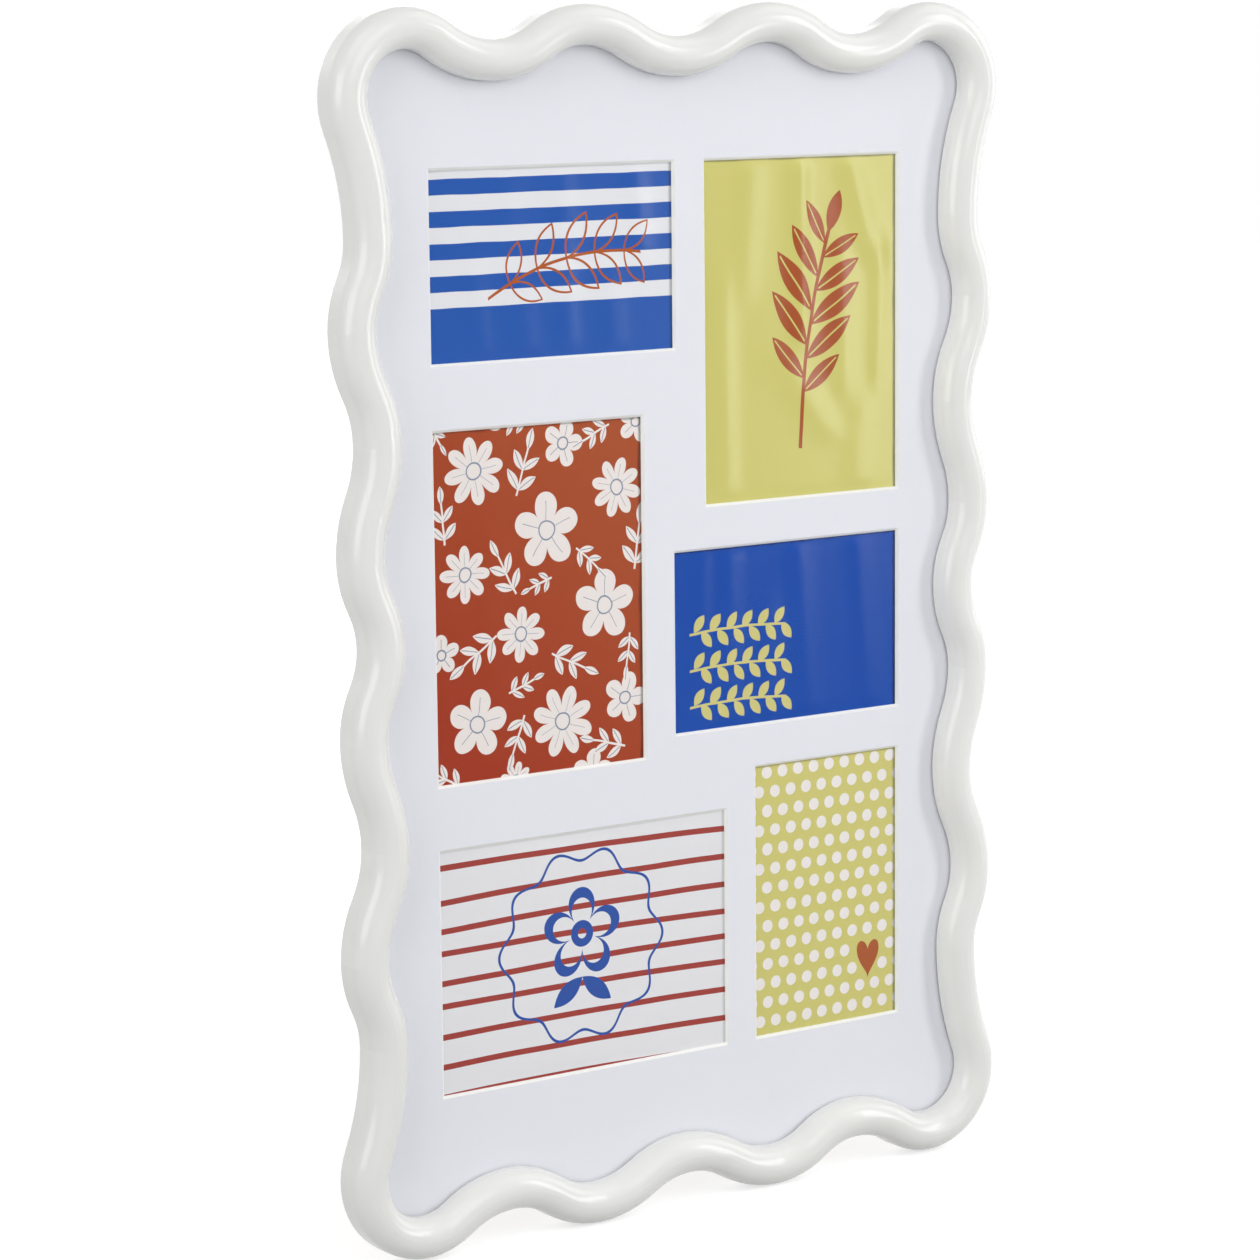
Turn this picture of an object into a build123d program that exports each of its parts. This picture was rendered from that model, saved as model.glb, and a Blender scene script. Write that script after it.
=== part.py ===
# Wall-hung collage photo frame: a wavy, rounded moulding round a pane, a mat with six windows,
# six cards and a back board, held in by eight turn buttons and hung from two D-rings.
# Millimetres. X is to the right and Z up as the frame hangs, and the front faces -Y.
# The origin is the centre of the back, where the board lies flush with the moulding.
import os

from build123d import *

os.makedirs("parts", exist_ok=True)

# Windows and cards
large_long = 172
large_short = 122
small_long = 142
small_short = 92
window_gap = 20
column_gap = 33
card_overlap = 4
card_thickness = 0.3
tape_length = 12
tape_width = 20
tape_thickness = 0.1
tape_spread_share = 0.3

# Sheets
pane_thickness = 1.2
mat_thickness = 1.4
mat_edge_land = 0.1
board_thickness = 2.5
sheet_clearance = 0.4

# Moulding's section
moulding_width = 20
moulding_depth = 19.5
crown_land = 0.1
back_edge_radius = 0.8

# Middle line of the moulding in one quarter of the frame: the outline dips in at a trough
# and swells out at a crest, and the corner is one round
side_trough_x = 175.6
side_crest_x = 186
side_crest_z = 43.9
second_trough_x = 175.3
second_trough_z = 97.5
second_crest_x = 188
second_crest_z = 151.8
last_trough_x = 178.3
last_trough_z = 194.3
corner_x = 158
corner_z = 260.6
corner_radius = 32.8
top_last_trough_x = 107.9
top_last_trough_z = 277.8
top_crest_x = 55.8
top_crest_z = 294.1
top_trough_z = 278.2

# Screws
screw_radius = 1.5
screw_length = 8
screw_tip = 1
pilot_clearance = 0.05
head_radius = 3
head_height = 1.8
head_round = 0.7
recess_length = 3.4
recess_width = 0.9
recess_depth = 1

# Turn buttons
button_length = 27
button_width = 10
button_thickness = 1
button_edge = 0.2
button_play = 0.1
pivot_clearance = 0.08
pivot_inset = 6

# Hangers: strap, knuckle and ring
strap_width = 9
strap_thickness = 1
strap_length = 32
strap_end_radius = 3
strap_inset = 5.8
strap_screw_pitch = 9.5
hinge_rise = 7.4
knuckle_wall = 1.1
knuckle_lift = 0.15
ring_wire_radius = 1
ring_clearance = 0.08
ring_half_width = 7.5
ring_side = 2
ring_bend = 1.6
ring_seam = 0.3
ring_screw_gap = 0.6

# Bumpers
bumper_radius = 5
bumper_height = 4
bumper_round = 1.5

back = Plane.XZ
half_width = moulding_width / 2

# Depth of each layer's back face in front of the frame's back
tape_depth = board_thickness
card_depth = tape_depth + tape_thickness
mat_depth = card_depth + card_thickness
pane_depth = mat_depth + mat_thickness
rabbet_depth = pane_depth + pane_thickness

# The straight rabbet runs midway between the opening's widest place and the outline's narrowest
rabbet_x = (corner_x + corner_radius + min(side_trough_x, second_trough_x)) / 2
rabbet_z = (top_crest_z + min(top_trough_z, top_last_trough_z)) / 2
sheet_width = 2 * (rabbet_x - sheet_clearance)
sheet_height = 2 * (rabbet_z - sheet_clearance)

# Windows: two columns, each flush with its side of the group
left_sizes = [(small_long, small_short), (large_short, large_long), (large_long, large_short)]
right_sizes = [(large_short, large_long), (small_long, small_short), (small_short, small_long)]
row_widths = [left[0] + right[0] for left, right in zip(left_sizes, right_sizes)]
group_width = max(row_widths) + window_gap


def stacked_height(sizes):
    return sum(height for width, height in sizes)


group_height = stacked_height(left_sizes) + 2 * column_gap


def column(sizes, side):
    """Centre, width and height of each window, from the top down. side is -1 left, 1 right."""
    gap = (group_height - stacked_height(sizes)) / (len(sizes) - 1)
    top = group_height / 2
    windows = []
    for width, height in sizes:
        centre = (side * (group_width - width) / 2, top - height / 2)
        windows.append((centre, width, height))
        top -= height + gap
    return windows


left_windows = column(left_sizes, -1)
right_windows = column(right_sizes, 1)
windows = left_windows + right_windows
card_names = [
    "print_stripes",
    "print_florals",
    "print_lines",
    "print_sprig",
    "print_waves",
    "print_dots",
]

# Turn buttons sit at crests: name, pivot and the angle that the arm points at, over the board
button_pivot_x = rabbet_x + pivot_inset
button_pivot_z = rabbet_z + pivot_inset
buttons = []
for word, side, heading in (("left", -1, 0), ("right", 1, 180)):
    for level, rise in (("upper", 1), ("lower", -1)):
        pivot = (side * button_pivot_x, rise * second_crest_z)
        buttons.append((f"turn_button_{word}_{level}", pivot, heading))
for level, rise, heading in (("top", 1, -90), ("bottom", -1, 90)):
    for word, side in (("left", -1), ("right", 1)):
        pivot = (side * top_crest_x, rise * button_pivot_z)
        buttons.append((f"turn_button_{level}_{word}", pivot, heading))
button_pivots = [pivot for name, pivot, heading in buttons]

# Hangers stand on the upper corners, where the back of the moulding is broad
strap_x = rabbet_x + strap_inset
hinge_z = corner_z + hinge_rise
knuckle_bore = ring_wire_radius + ring_clearance
knuckle_radius = knuckle_bore + knuckle_wall
hinge_y = knuckle_lift + knuckle_radius
ring_drop = ring_side + ring_half_width + ring_wire_radius
first_strap_screw = ring_drop + ring_screw_gap + head_radius
strap_screw_rises = [
    hinge_z - first_strap_screw,
    hinge_z - first_strap_screw - strap_screw_pitch,
]
strap_screws = [(side * strap_x, rise) for side in (-1, 1) for rise in strap_screw_rises]


# Middle line of the wave
def with_midpoints(levels):
    """The level points of a wave, with the point halfway along each slope between them."""
    points = [Vector(*levels[0])]
    for place in levels[1:]:
        level = Vector(*place)
        points += [(points[-1] + level) / 2, level]
    return points


def corner_joint(trough, outward):
    """Where the last trough's arc runs into the corner's round."""
    corner = Vector(corner_x, corner_z)
    reach = (corner - trough).dot(outward) + corner_radius
    rise = (corner - trough).cross(outward).length
    trough_radius = (reach**2 + rise**2) / (2 * reach) - corner_radius
    to_centre = trough + outward * trough_radius - corner
    return corner + to_centre.normalized() * corner_radius


side_points = with_midpoints(
    [
        (side_trough_x, 0),
        (side_crest_x, side_crest_z),
        (second_trough_x, second_trough_z),
        (second_crest_x, second_crest_z),
        (last_trough_x, last_trough_z),
    ]
)
top_points = with_midpoints(
    [(top_last_trough_x, top_last_trough_z), (top_crest_x, top_crest_z), (0, top_trough_z)]
)
corner_points = [
    corner_joint(side_points[-1], Vector(1, 0)),
    corner_joint(top_points[0], Vector(0, 1)),
]
wave_points = side_points + corner_points + top_points


with BuildPart() as frame_moulding:
    with BuildSketch(back) as band:
        with BuildLine():
            heading = (0, 1)
            for start, end in zip(wave_points, wave_points[1:]):
                arc = TangentArc(start, end, tangent=heading)
                heading = arc % 1
            mirror(about=Plane.YZ)
            mirror(about=Plane.XZ)
        make_face()
        middle = band.sketch_local.face()
        offset(middle, amount=half_width, mode=Mode.REPLACE)
        offset(middle, amount=-half_width, mode=Mode.SUBTRACT)
    extrude(amount=moulding_depth)
    front_face = frame_moulding.faces().sort_by(Axis.Y)[0]
    fillet(front_face.edges(), radius=half_width - crown_land)
    back_face = frame_moulding.faces().sort_by(Axis.Y)[-1]
    fillet(back_face.outer_wire().edges(), radius=back_edge_radius)
    with BuildSketch(back):
        Rectangle(2 * rabbet_x, 2 * rabbet_z)
    extrude(amount=rabbet_depth, mode=Mode.SUBTRACT)
    with BuildSketch(back):
        with Locations(*button_pivots, *strap_screws):
            Circle(screw_radius + pilot_clearance)
    extrude(amount=screw_length + pilot_clearance, mode=Mode.SUBTRACT)
frame_moulding.part.label = "frame_moulding"
export_step(frame_moulding.part, "parts/frame_moulding.step")

with BuildPart() as glazing:
    with BuildSketch(back.offset(pane_depth)):
        Rectangle(sheet_width, sheet_height)
    extrude(amount=pane_thickness)
glazing.part.label = "glazing"
export_step(glazing.part, "parts/glazing.step")

with BuildPart() as mat_board:
    with BuildSketch(back.offset(mat_depth)):
        Rectangle(sheet_width, sheet_height)
        for centre, width, height in windows:
            with Locations(centre):
                Rectangle(width, height, mode=Mode.SUBTRACT)
    extrude(amount=mat_thickness)
    mat_front = mat_board.faces().sort_by(Axis.Y)[0]
    window_edges = [edge for wire in mat_front.inner_wires() for edge in wire.edges()]
    chamfer(window_edges, length=mat_thickness - mat_edge_land)
mat_board.part.label = "mat_board"
export_step(mat_board.part, "parts/mat_board.step")

for name, (centre, width, height) in zip(card_names, windows):
    with BuildPart() as card:
        with BuildSketch(back.offset(card_depth)):
            with Locations(centre):
                Rectangle(width + 2 * card_overlap, height + 2 * card_overlap)
        extrude(amount=card_thickness)
    card.part.label = name
    export_step(card.part, f"parts/{name}.step")

with BuildPart() as photo_tapes:
    with BuildSketch(back.offset(tape_depth)):
        for (x, z), width, height in windows:
            card_top = z + height / 2 + card_overlap
            spread = width * tape_spread_share
            with Locations((x - spread, card_top), (x + spread, card_top)):
                Rectangle(tape_width, tape_length)
    extrude(amount=tape_thickness)
photo_tapes.part.label = "photo_tapes"
export_step(photo_tapes.part, "parts/photo_tapes.step")

with BuildPart() as back_board:
    with BuildSketch(back):
        Rectangle(sheet_width, sheet_height)
    extrude(amount=board_thickness)
back_board.part.label = "back_board"
export_step(back_board.part, "parts/back_board.step")

for name, pivot, heading in buttons:
    with BuildPart() as turn_button:
        with BuildSketch(back.offset(-button_play)):
            with Locations(pivot):
                with PolarLocations((button_length - button_width) / 2, 1, heading):
                    SlotOverall(button_length, button_width)
                Circle(screw_radius + pivot_clearance, mode=Mode.SUBTRACT)
        extrude(amount=-button_thickness)
        outer_face = turn_button.faces().sort_by(Axis.Y)[-1]
        chamfer(outer_face.outer_wire().edges(), length=button_edge)
    turn_button.part.label = name
    export_step(turn_button.part, f"parts/{name}.step")


def screws(places, under_head):
    """Pan-head screws, with the underside of each head that far behind the frame's back."""
    head_plane = back.offset(-under_head)
    with BuildPart() as group:
        with BuildSketch(head_plane):
            with Locations(*places):
                Circle(screw_radius)
        extrude(amount=under_head + screw_length)
        tips = group.faces().group_by(Axis.Y)[0]
        chamfer(tips.edges(), length=screw_tip)
        with BuildSketch(head_plane):
            with Locations(*places):
                Circle(head_radius)
        extrude(amount=-head_height)
        tops = group.faces().group_by(Axis.Y)[-1]
        fillet(tops.edges(), radius=head_round)
        with BuildSketch(head_plane.offset(-head_height)):
            with Locations(*places):
                Rectangle(recess_length, recess_width)
                Rectangle(recess_width, recess_length)
        extrude(amount=recess_depth, mode=Mode.SUBTRACT)
    return group


turn_button_screws = screws(button_pivots, button_thickness + 2 * button_play)
turn_button_screws.part.label = "turn_button_screws"
export_step(turn_button_screws.part, "parts/turn_button_screws.step")

hanger_screws = screws(strap_screws, strap_thickness)
hanger_screws.part.label = "hanger_screws"
export_step(hanger_screws.part, "parts/hanger_screws.step")

for word, side in (("left", -1), ("right", 1)):
    x = side * strap_x
    with BuildPart() as hanger_strap:
        with BuildSketch(back):
            with Locations((x, hinge_z)):
                outline = Rectangle(strap_width, strap_length, align=(Align.CENTER, Align.MAX))
            fillet(outline.vertices().group_by(Axis.Y)[0], radius=strap_end_radius)
            with Locations(*[(x, rise) for rise in strap_screw_rises]):
                Circle(screw_radius + pilot_clearance, mode=Mode.SUBTRACT)
        extrude(amount=-strap_thickness)
        with BuildSketch(Plane.YZ.offset(x)):
            with Locations((hinge_y, hinge_z)):
                Circle(knuckle_radius)
        extrude(amount=strap_width / 2, both=True)
        with BuildSketch(Plane.YZ.offset(x)):
            with Locations((hinge_y, hinge_z)):
                Circle(knuckle_bore)
        extrude(amount=strap_width / 2, both=True, mode=Mode.SUBTRACT)
    hanger_strap.part.label = f"hanger_strap_{word}"
    export_step(hanger_strap.part, f"parts/hanger_strap_{word}.step")

    with BuildPart() as hanger_ring:
        bend_x = x + ring_half_width - ring_bend
        bend_z = hinge_z - ring_bend
        bow_z = hinge_z - ring_side
        with BuildLine(back.offset(-hinge_y)) as ring_line:
            Line((x + ring_seam / 2, hinge_z), (bend_x, hinge_z))
            CenterArc((bend_x, bend_z), ring_bend, 90, -90)
            Line((x + ring_half_width, bend_z), (x + ring_half_width, bow_z))
            CenterArc((x, bow_z), ring_half_width, 0, -90)
            mirror(about=Plane.YZ.offset(x))
        ring_path = ring_line.wire()
        with BuildSketch(Plane(origin=ring_path @ 0, z_dir=ring_path % 0)):
            Circle(ring_wire_radius)
        sweep(path=ring_path)
    hanger_ring.part.label = f"hanger_ring_{word}"
    export_step(hanger_ring.part, f"parts/hanger_ring_{word}.step")

    with BuildPart() as bumper:
        with BuildSketch(back):
            bumper_x = (rabbet_x + corner_x + corner_radius + half_width) / 2
            with Locations((side * bumper_x, -corner_z)):
                Circle(bumper_radius)
        extrude(amount=-bumper_height)
        fillet(bumper.faces().sort_by(Axis.Y)[-1].edges(), radius=bumper_round)
    bumper.part.label = f"bumper_{word}"
    export_step(bumper.part, f"parts/bumper_{word}.step")
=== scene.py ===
# Wavy collage photo frame: finishes, rippled print cards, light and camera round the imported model.
import math
import bmesh
import bpy
from mathutils import Euler, Matrix, Vector


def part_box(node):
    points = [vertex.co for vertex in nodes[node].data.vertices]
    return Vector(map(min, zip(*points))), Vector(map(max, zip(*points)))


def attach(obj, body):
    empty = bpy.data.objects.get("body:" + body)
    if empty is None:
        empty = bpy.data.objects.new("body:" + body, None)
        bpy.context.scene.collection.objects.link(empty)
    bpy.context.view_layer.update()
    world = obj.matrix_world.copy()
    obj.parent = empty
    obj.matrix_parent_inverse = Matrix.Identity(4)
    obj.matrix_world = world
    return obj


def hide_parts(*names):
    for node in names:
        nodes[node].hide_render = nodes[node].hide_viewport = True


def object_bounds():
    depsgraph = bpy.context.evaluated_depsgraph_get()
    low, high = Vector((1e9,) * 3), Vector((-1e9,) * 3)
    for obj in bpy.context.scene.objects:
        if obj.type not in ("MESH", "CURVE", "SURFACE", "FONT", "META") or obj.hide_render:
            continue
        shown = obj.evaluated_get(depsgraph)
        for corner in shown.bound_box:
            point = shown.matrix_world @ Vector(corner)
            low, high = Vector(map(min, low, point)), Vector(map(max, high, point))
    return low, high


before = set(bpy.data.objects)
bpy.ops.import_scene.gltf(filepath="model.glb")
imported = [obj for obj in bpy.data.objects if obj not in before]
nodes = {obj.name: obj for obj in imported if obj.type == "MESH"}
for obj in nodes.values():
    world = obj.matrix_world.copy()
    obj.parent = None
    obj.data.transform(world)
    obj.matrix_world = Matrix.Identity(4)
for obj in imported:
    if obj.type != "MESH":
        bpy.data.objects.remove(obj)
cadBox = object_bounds()
mm = 0.001
plainWhite = (1, 1, 1, 1)


def toLinear(hexText):
    channels = [int(hexText[i : i + 2], 16) / 255 for i in (0, 2, 4)]
    return [c / 12.92 if c <= 0.04045 else ((c + 0.055) / 1.055) ** 2.4 for c in channels] + [1.0]


def addNode(tree, kind, inputs=None, **settings):
    node = tree.nodes.new("ShaderNode" + kind)
    for name, value in settings.items():
        setattr(node, name, value)
    for key, value in (inputs or {}).items():
        if isinstance(value, bpy.types.Node):
            value = value.outputs[0]
        if isinstance(value, bpy.types.NodeSocket):
            tree.links.new(value, node.inputs[key])
        else:
            node.inputs[key].default_value = value
    return node


def newMaterial(name):
    material = bpy.data.materials.new(name)
    material.use_nodes = True
    material.node_tree.nodes.clear()
    return material, material.node_tree


def dress(nodeName, material):
    mesh = nodes[nodeName].data
    mesh.materials.clear()
    mesh.materials.append(material)


# Camera: about 2 m off, on the left and a little above, with a long lens as for a catalogue picture
camera = {
    "place": (-1.16910, -1.62825, 0.30130),  # in metres
    "yaw": 35.08,  # turns in degrees
    "pitch": -8.95,
    "roll": 0.57,
    "lens": 115.04,  # in mm
    "sensor": 36.0,
    "shiftUp": 0.00968,
    "near": 0.05,
    "far": 50,
}


def makeCamera(look):
    data = bpy.data.cameras.new("camera")
    data.lens = look["lens"]
    data.sensor_width = look["sensor"]
    data.sensor_fit = "HORIZONTAL"
    data.shift_y = look["shiftUp"]
    data.clip_start = look["near"]
    data.clip_end = look["far"]
    seen = bpy.data.objects.new("camera", data)
    facing = Euler((math.radians(90 + look["pitch"]), 0, math.radians(-look["yaw"])), "XYZ")
    roll = Matrix.Rotation(math.radians(-look["roll"]), 4, "Z")
    seen.matrix_world = Matrix.Translation(look["place"]) @ facing.to_matrix().to_4x4() @ roll
    bpy.context.scene.collection.objects.link(seen)
    bpy.context.scene.camera = seen


makeCamera(camera)
print("camera set")

# Light: softboxes round the frame, each given by where it stands as seen from the frame (degrees to the
# right of straight ahead and degrees up), how far off it is, its width and height in metres, and its watts
softboxes = {
    "front": {"side": 0, "up": 30, "away": 2.4, "size": (1.4, 1.4), "watts": 10},
    "upperLeft": {"side": -50, "up": 55, "away": 2.4, "size": (1.3, 1.3), "watts": 7.5},
    "upperRight": {"side": 72, "up": 48, "away": 2.4, "size": (1.4, 1.4), "watts": 6.5},
    "lowLeft": {"side": -70, "up": 15, "away": 2.4, "size": (1.4, 1.4), "watts": 17},
    "frontRight": {"side": 46, "up": 12, "away": 2.4, "size": (0.5, 1.7), "watts": 15},
    "farRight": {"side": 82, "up": 14, "away": 2.4, "size": (1.4, 1.4), "watts": 11},
    "behind": {"side": 172, "up": 17, "away": 2.4, "size": (3.6, 1.8), "watts": 21},
}


def makeSoftbox(name, box):
    data = bpy.data.lights.new(name, "AREA")
    data.shape = "RECTANGLE"
    data.size = box["size"][0]
    data.size_y = box["size"][1]
    data.energy = box["watts"]
    lamp = bpy.data.objects.new(name, data)
    side, up = math.radians(box["side"]), math.radians(box["up"])
    toward = Vector((math.cos(up) * math.sin(side), -math.cos(up) * math.cos(side), math.sin(up)))
    lamp.location = toward * box["away"]
    lamp.rotation_euler = (-toward).to_track_quat("-Z", "Y").to_euler()
    bpy.context.scene.collection.objects.link(lamp)


for name, box in softboxes.items():
    makeSoftbox(name, box)


def seenDirectly(tree):
    # 1 for what the camera sees, also in a gloss or through the pane, and 0 for light that falls on things
    path = addNode(tree, "LightPath")
    shiny = addNode(tree, "Math", {0: path.outputs["Is Camera Ray"], 1: path.outputs["Is Glossy Ray"]},
                    operation="MAXIMUM")
    return addNode(tree, "Math", {0: shiny, 1: path.outputs["Is Transmission Ray"]}, operation="MAXIMUM")


# Surround: a dim room that leaves the shading to the softboxes, with a white backdrop
surround = {"room": 0.35, "backdrop": 1.0}


def makeWorld(look):
    world = bpy.data.worlds.new("studio")
    bpy.context.scene.world = world
    world.use_nodes = True
    tree = world.node_tree
    tree.nodes.clear()
    room = addNode(tree, "Background", {"Color": plainWhite, "Strength": look["room"]})
    backdrop = addNode(tree, "Background", {"Color": plainWhite, "Strength": look["backdrop"]})
    mixed = addNode(tree, "MixShader", {"Fac": seenDirectly(tree), 1: room, 2: backdrop})
    addNode(tree, "OutputWorld", {"Surface": mixed})


makeWorld(surround)

# Floor: pale, dim enough near the object to show its shadow, and glowing more away from it, so that it runs
# into the white backdrop unseen
floorLook = {
    "side": 12.0,  # in metres
    "below": 0.3,  # under the object, in mm
    "white": "c8c8c8",
    "glow": 0.64,
    "farGlow": 1.0,
    "near": 0.35,  # where the glow starts to grow, in metres from the middle
    "far": 1.1,  # where it is full
}


def makeFloor(look):
    bm = bmesh.new()
    bmesh.ops.create_grid(bm, x_segments=1, y_segments=1, size=look["side"] / 2)
    bmesh.ops.translate(bm, verts=bm.verts, vec=(0, 0, cadBox[0].z - look["below"] * mm))
    mesh = bpy.data.meshes.new("floor")
    bm.to_mesh(mesh)
    bm.free()
    floor = bpy.data.objects.new("floor", mesh)
    bpy.context.scene.collection.objects.link(floor)
    material, tree = newMaterial("paleFloor")
    lit = addNode(tree, "BsdfDiffuse", {"Color": toLinear(look["white"])})
    place = addNode(tree, "TexCoord").outputs["Object"]
    under = addNode(tree, "VectorMath", {0: place, 1: (1, 1, 0)}, operation="MULTIPLY")
    away = addNode(tree, "VectorMath", {0: under}, operation="LENGTH").outputs["Value"]
    glow = addNode(tree, "MapRange", {"Value": away, "From Min": look["near"], "From Max": look["far"],
                                      "To Min": look["glow"], "To Max": look["farGlow"]})
    share = addNode(tree, "Math", {0: seenDirectly(tree), 1: glow}, operation="MULTIPLY")
    shine = addNode(tree, "Emission", {"Color": plainWhite, "Strength": share})
    addNode(tree, "OutputMaterial", {"Surface": addNode(tree, "AddShader", {0: lit, 1: shine})})
    mesh.materials.append(material)


makeFloor(floorLook)
print("floor and light set")

# Moulding: polystyrene, moulded and sprayed with satin-gloss lacquer, which pools a little and gives
# soft, slightly wobbling highlights over a faint orange peel. Sizes are in mm
lacquer = {
    "white": "eaeae7",
    "shade": "e6e6e3",
    "cloudSize": 60,
    "roughness": 0.2,
    "roughnessSpread": 0.03,
    "waveSize": 16,
    "waveHeight": 0.12,
    "peelSize": 1.6,
    "peelHeight": 0.004,
    "ior": 1.5,
}


def makeLacquer(look):
    material, tree = newMaterial("satinLacquer")
    place = addNode(tree, "TexCoord").outputs["Object"]
    cloud = addNode(tree, "TexNoise", {"Vector": place, "Scale": 1 / (look["cloudSize"] * mm), "Detail": 2.0})
    tint = addNode(tree, "Mix", {"Factor": cloud, 6: toLinear(look["white"]), 7: toLinear(look["shade"])},
                   data_type="RGBA")
    wave = addNode(tree, "TexNoise", {"Vector": place, "Scale": 1 / (look["waveSize"] * mm), "Detail": 0.0})
    sagging = addNode(tree, "Bump", {"Height": wave, "Strength": 1.0, "Distance": look["waveHeight"] * mm})
    peel = addNode(tree, "TexNoise", {"Vector": place, "Scale": 1 / (look["peelSize"] * mm), "Detail": 1.0})
    bump = addNode(tree, "Bump", {"Height": peel, "Strength": 1.0, "Distance": look["peelHeight"] * mm,
                                  "Normal": sagging})
    rough = addNode(tree, "MapRange", {"Value": cloud, "To Min": look["roughness"] - look["roughnessSpread"],
                                       "To Max": look["roughness"] + look["roughnessSpread"]})
    surface = addNode(tree, "BsdfPrincipled", {
        "Base Color": tint.outputs[2], "Roughness": rough, "IOR": look["ior"], "Normal": bump})
    addNode(tree, "OutputMaterial", {"Surface": surface})
    return material


dress("frame_moulding", makeLacquer(lacquer))

# Pane: clear acrylic with an anti-glare coating, which spreads what little it mirrors into a soft veil
acrylic = {"ior": 1.49, "tint": "fdfdfd", "roughness": 0.3, "mirrorShare": 0.07}


def makeAcrylic(look):
    material, tree = newMaterial("clearAcrylic")
    clear = addNode(tree, "BsdfTransparent", {"Color": toLinear(look["tint"])})
    gloss = addNode(tree, "BsdfGlossy", {"Color": plainWhite, "Roughness": look["roughness"]})
    slant = addNode(tree, "Fresnel", {"IOR": look["ior"]})
    behind = addNode(tree, "NewGeometry").outputs["Backfacing"]
    front = addNode(tree, "Math", {0: 1.0, 1: behind}, operation="SUBTRACT")
    coated = addNode(tree, "Math", {0: front, 1: look["mirrorShare"]}, operation="MULTIPLY")
    share = addNode(tree, "Math", {0: slant, 1: coated}, operation="MULTIPLY")
    surface = addNode(tree, "MixShader", {"Fac": share, 1: clear, 2: gloss})
    addNode(tree, "OutputMaterial", {"Surface": surface})
    return material


dress("glazing", makeAcrylic(acrylic))

# Mat: board laminated from paper, with a smooth cool white face and a bright core that shows at the
# cut bevels
matLook = {
    "face": "f2f3fa",
    "core": "fcfcf9",
    "flatFrom": 0.9,  # a normal this much along Y is the face, any other a bevel
    "grainSize": 0.35,
    "grainHeight": 0.003,
    "roughness": 0.85,
    "ior": 1.5,
}


def makeMatBoard(look):
    material, tree = newMaterial("matBoard")
    coords = addNode(tree, "TexCoord")
    place = coords.outputs["Object"]
    facing = addNode(tree, "SeparateXYZ", {0: coords.outputs["Normal"]})
    forward = addNode(tree, "Math", {0: facing.outputs["Y"]}, operation="ABSOLUTE")
    flat = addNode(tree, "Math", {0: forward, 1: look["flatFrom"]}, operation="GREATER_THAN")
    tint = addNode(tree, "Mix", {"Factor": flat, 6: toLinear(look["core"]), 7: toLinear(look["face"])},
                   data_type="RGBA")
    grain = addNode(tree, "TexNoise", {"Vector": place, "Scale": 1 / (look["grainSize"] * mm), "Detail": 3.0})
    bump = addNode(tree, "Bump", {"Height": grain, "Strength": 1.0, "Distance": look["grainHeight"] * mm})
    surface = addNode(tree, "BsdfPrincipled", {
        "Base Color": tint.outputs[2], "Roughness": look["roughness"], "IOR": look["ior"], "Normal": bump})
    addNode(tree, "OutputMaterial", {"Surface": surface})
    return material


dress("mat_board", makeMatBoard(matLook))
print("moulding, pane and mat dressed")

# Print cards: inkjet prints on glossy photo paper, whose full, even colours lie under a soft sheen. Each is
# taped at the top only, so it ripples a little inside its window, and the sheen shows that as pale streaks.
# A ripple is a ridge from its top to its end, in mm from the window's upper left corner
paper = {
    "cell": 2.0,  # of the card's mesh
    "overlap": 4.0,  # of the mat over each edge of the card
    "thickness": 0.3,
    "bow": 0.25,
    "edgeFade": 6.0,  # the card lies flat again at the window's edges
    "endFade": 22.0,  # over which a ripple starts and ends
    # painted shade along the window's top and right edges: how far in it reaches, in mm
    "paintedEdgeShadeReach": {"X": (0.7, 2.4), "Z": (0.2, 1.3)},  # of the edge shade, from the window's edge
    "back": "eeeeea",
    "backShade": "e6e6e0",
    "backCloud": 3.0,
    "backRoughness": 0.8,
}


def makeCardBack(look):
    # the uncoated back of the paper is matt, with a faint cloudy formation
    material, tree = newMaterial("paperBack")
    place = addNode(tree, "TexCoord").outputs["Object"]
    cloud = addNode(tree, "TexNoise", {"Vector": place, "Scale": 1 / (look["backCloud"] * mm), "Detail": 3.0})
    tint = addNode(tree, "Mix", {"Factor": cloud, 6: toLinear(look["back"]), 7: toLinear(look["backShade"])},
                   data_type="RGBA")
    surface = addNode(tree, "BsdfPrincipled", {
        "Base Color": tint.outputs[2], "Roughness": look["backRoughness"]})
    addNode(tree, "OutputMaterial", {"Surface": surface})
    return material


cardBack = makeCardBack(paper)


def fadeIn(distance, reach):
    share = min(max(distance / reach, 0.0), 1.0)
    return share * share * (3 - 2 * share)


def rippleRise(ripple, across, down):
    (topX, topZ), (endX, endZ) = ripple["top"], ripple["end"]
    along = (down - topZ) / (endZ - topZ)
    off = across - topX - (endX - topX) * along
    fade = fadeIn(down - topZ + paper["endFade"] / 2, paper["endFade"])
    fade *= fadeIn(endZ + paper["endFade"] / 2 - down, paper["endFade"])
    return ripple["height"] * math.exp(-((off / ripple["width"]) ** 2)) * fade


def cardRise(look, across, down, width, height):
    inside = min(across, down, width - across, height - down)
    bow = paper["bow"] * math.sin(math.pi * min(max(across / width, 0), 1))
    rise = bow + sum(rippleRise(ripple, across, down) for ripple in look["ripples"])
    return rise * fadeIn(inside, paper["edgeFade"])


def windowOf(look):
    low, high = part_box(look["node"])
    width = (high.x - low.x) / mm - 2 * paper["overlap"]
    height = (high.z - low.z) / mm - 2 * paper["overlap"]
    return low, high, width, height


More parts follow.
